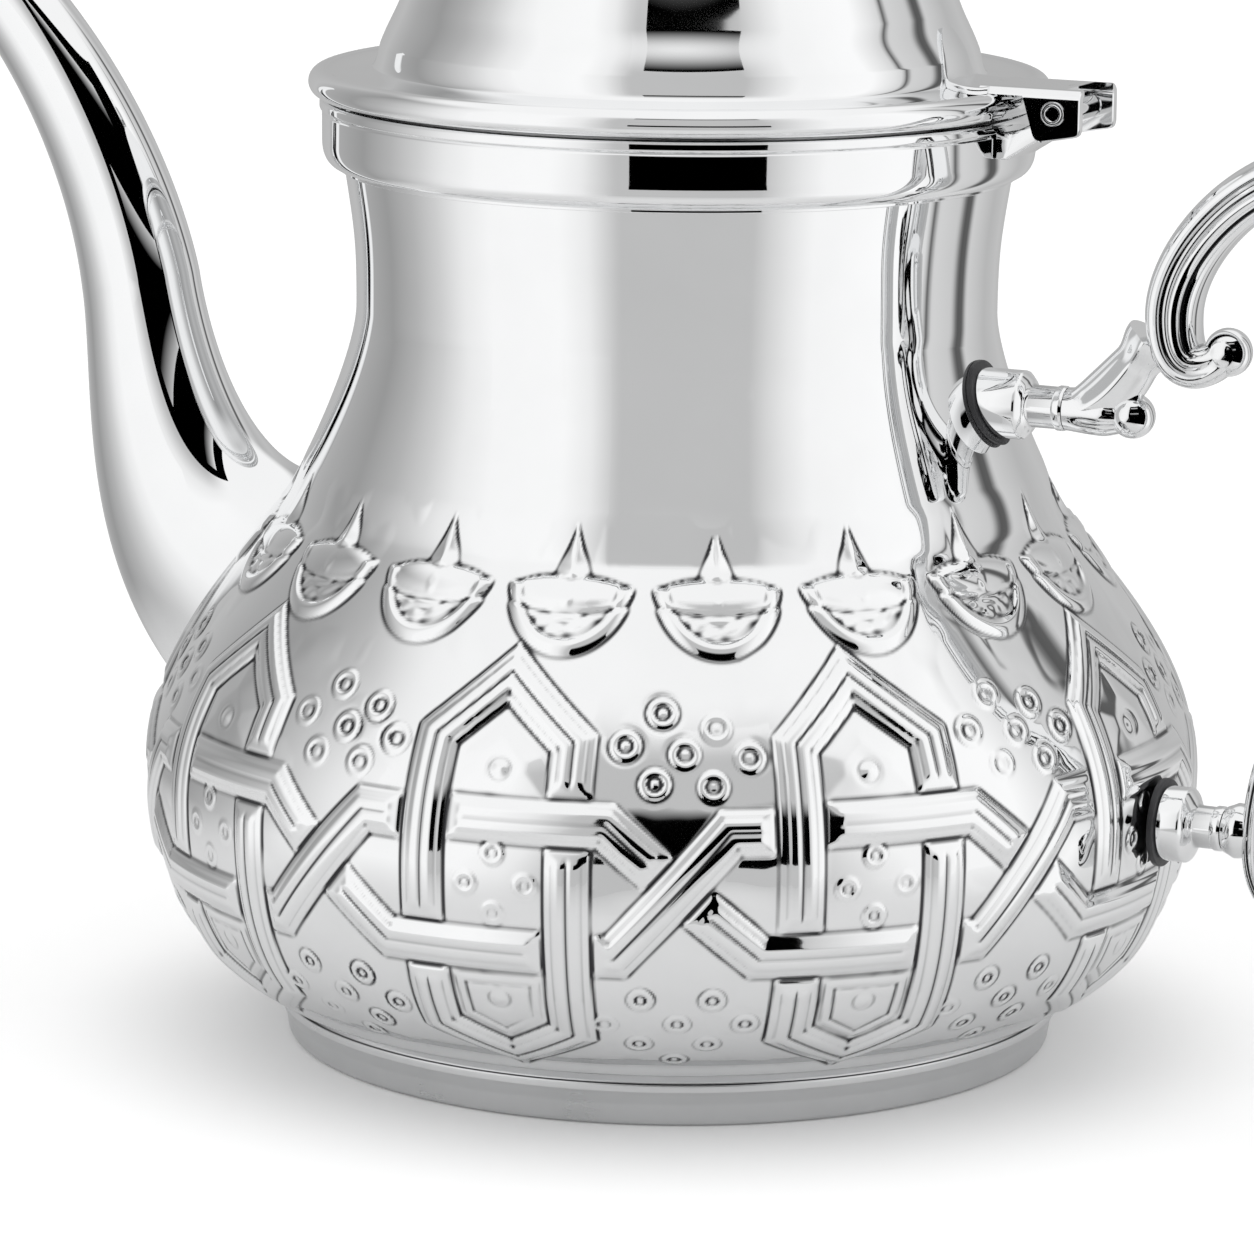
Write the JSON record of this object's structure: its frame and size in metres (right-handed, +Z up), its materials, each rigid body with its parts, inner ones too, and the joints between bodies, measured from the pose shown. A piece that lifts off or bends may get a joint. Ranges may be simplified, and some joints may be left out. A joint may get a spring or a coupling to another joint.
{
  "type": "moroccan teapot",
  "caption": "Pear-shaped metal teapot with a swan-neck spout, a hinged bell lid, an insulated scroll handle and strapwork pressed round the belly.",
  "frame": {"origin": "on the pot's axis, in the plane of the foot ring's resting face", "axes": "+Z up along the pot's axis, +X towards the handle and hinge, -X towards the spout"},
  "size_m": [0.233, 0.1436, 0.2056],
  "materials": {
    "polished_body": "mirror polish over pressed strapwork",
    "polished_metal": "mirror polish",
    "cast_metal": "polished casting",
    "hinge_metal": "polished with bright edges",
    "satin_metal": "satin",
    "steel_fixings": "machined",
    "black_insulator": "black heat-resistant plastic"
  },
  "bodies": {
    "pot": {"body_shell": "polished_body", "neck_shell": "polished_body", "base_disc": "satin_metal", "foot_ring": "satin_metal", "rim_collar": "polished_metal", "spout": "polished_metal", "upper_insulator": "black_insulator", "upper_ferrule": "polished_metal", "lower_insulator": "black_insulator", "lower_ferrule": "polished_metal", "handle_upper_arm": "cast_metal", "handle_grip": "cast_metal", "handle_lower_arm": "cast_metal", "upper_stud": "steel_fixings", "lower_stud": "steel_fixings", "handle_nuts": "steel_fixings", "handle_washers": "steel_fixings", "hinge_bracket": "hinge_metal"},
    "lid": {"lid_dome": "polished_metal", "lid_skirt": "satin_metal", "hinge_leaf": "hinge_metal", "hinge_pin": "hinge_metal", "finial_seat": "polished_metal", "finial_disc": "black_insulator", "finial_knob": "polished_metal", "finial_stud": "steel_fixings", "finial_washer": "steel_fixings", "finial_nut": "steel_fixings"}
  },
  "joints": [
    {"name": "lid_hinge", "type": "hinge", "parent": "pot", "child": "lid", "pos_m": [0.0564, 0, 0.1299], "axis": [0, 1, 0], "range_deg": [0, 105]}
  ]
}
